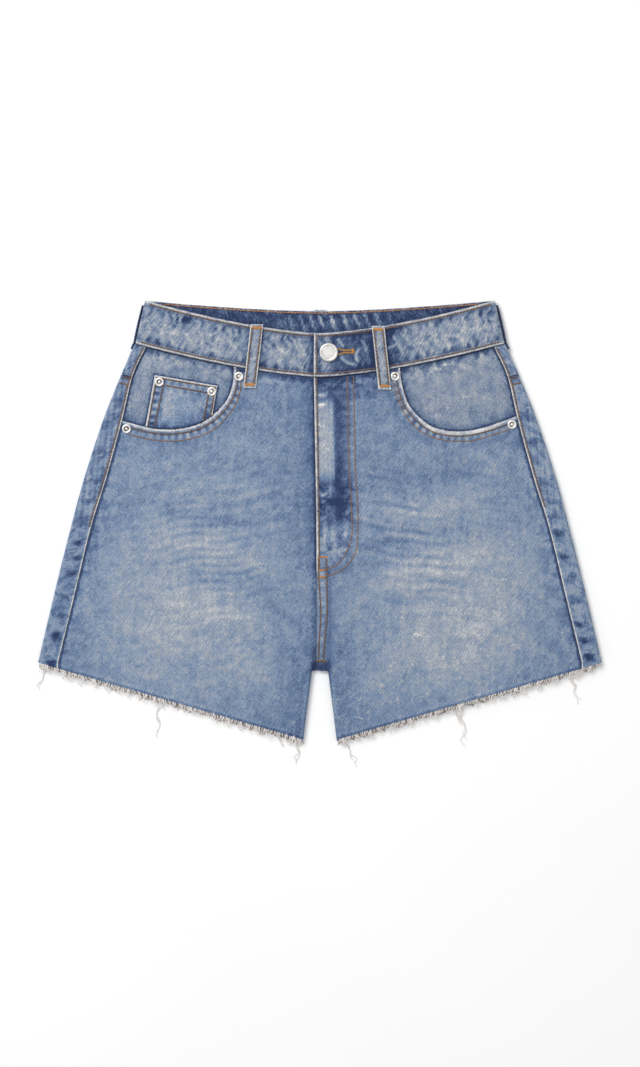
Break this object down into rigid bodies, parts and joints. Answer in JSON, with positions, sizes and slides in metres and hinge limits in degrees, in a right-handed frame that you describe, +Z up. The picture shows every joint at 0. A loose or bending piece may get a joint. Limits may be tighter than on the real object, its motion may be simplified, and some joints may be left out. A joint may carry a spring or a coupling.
{
  "type": "denim shorts",
  "caption": "High-waisted denim shorts with front, coin and back pockets, belt loops and frayed raw hems, buttoned and lying flat on their back.",
  "frame": {"origin": "on the table, under the middle of the outline seen from above", "axes": "+X across towards the wearer's left side, +Y up the garment towards the waist, +Z up from the table, out of the front"},
  "size_m": [0.5222, 0.4326, 0.0103],
  "materials": {
    "denim": "light-blue stonewashed twill, matt",
    "denim_facing": "light-blue twill, matt",
    "denim_band": "mottled light-blue twill, matt",
    "bare_thread": "off-white cotton thread, matt",
    "topstitch": "tan and orange sewing thread",
    "metal": "satin silver"
  },
  "bodies": {
    "root": {"front_right": "denim", "front_left": "denim", "yoke_right": "denim", "yoke_left": "denim", "back_right": "denim", "back_left": "denim", "back_pocket_right": "denim", "back_pocket_left": "denim", "coin_pocket": "denim", "pocket_facing_right": "denim_facing", "pocket_facing_left": "denim_facing", "waistband": "denim_band", "belt_loop_front_right": "denim_band", "belt_loop_front_left": "denim_band", "belt_loop_side_right": "denim_band", "belt_loop_side_left": "denim_band", "belt_loop_back": "denim_band", "frayed_hem_front_right": "bare_thread", "frayed_hem_front_left": "bare_thread", "frayed_hem_back_right": "bare_thread", "frayed_hem_back_left": "bare_thread", "button": "metal", "rivet_1": "metal", "rivet_2": "metal", "rivet_3": "metal", "rivet_4": "metal", "rivet_5": "metal", "rivet_6": "metal"}
  },
  "joints": []
}
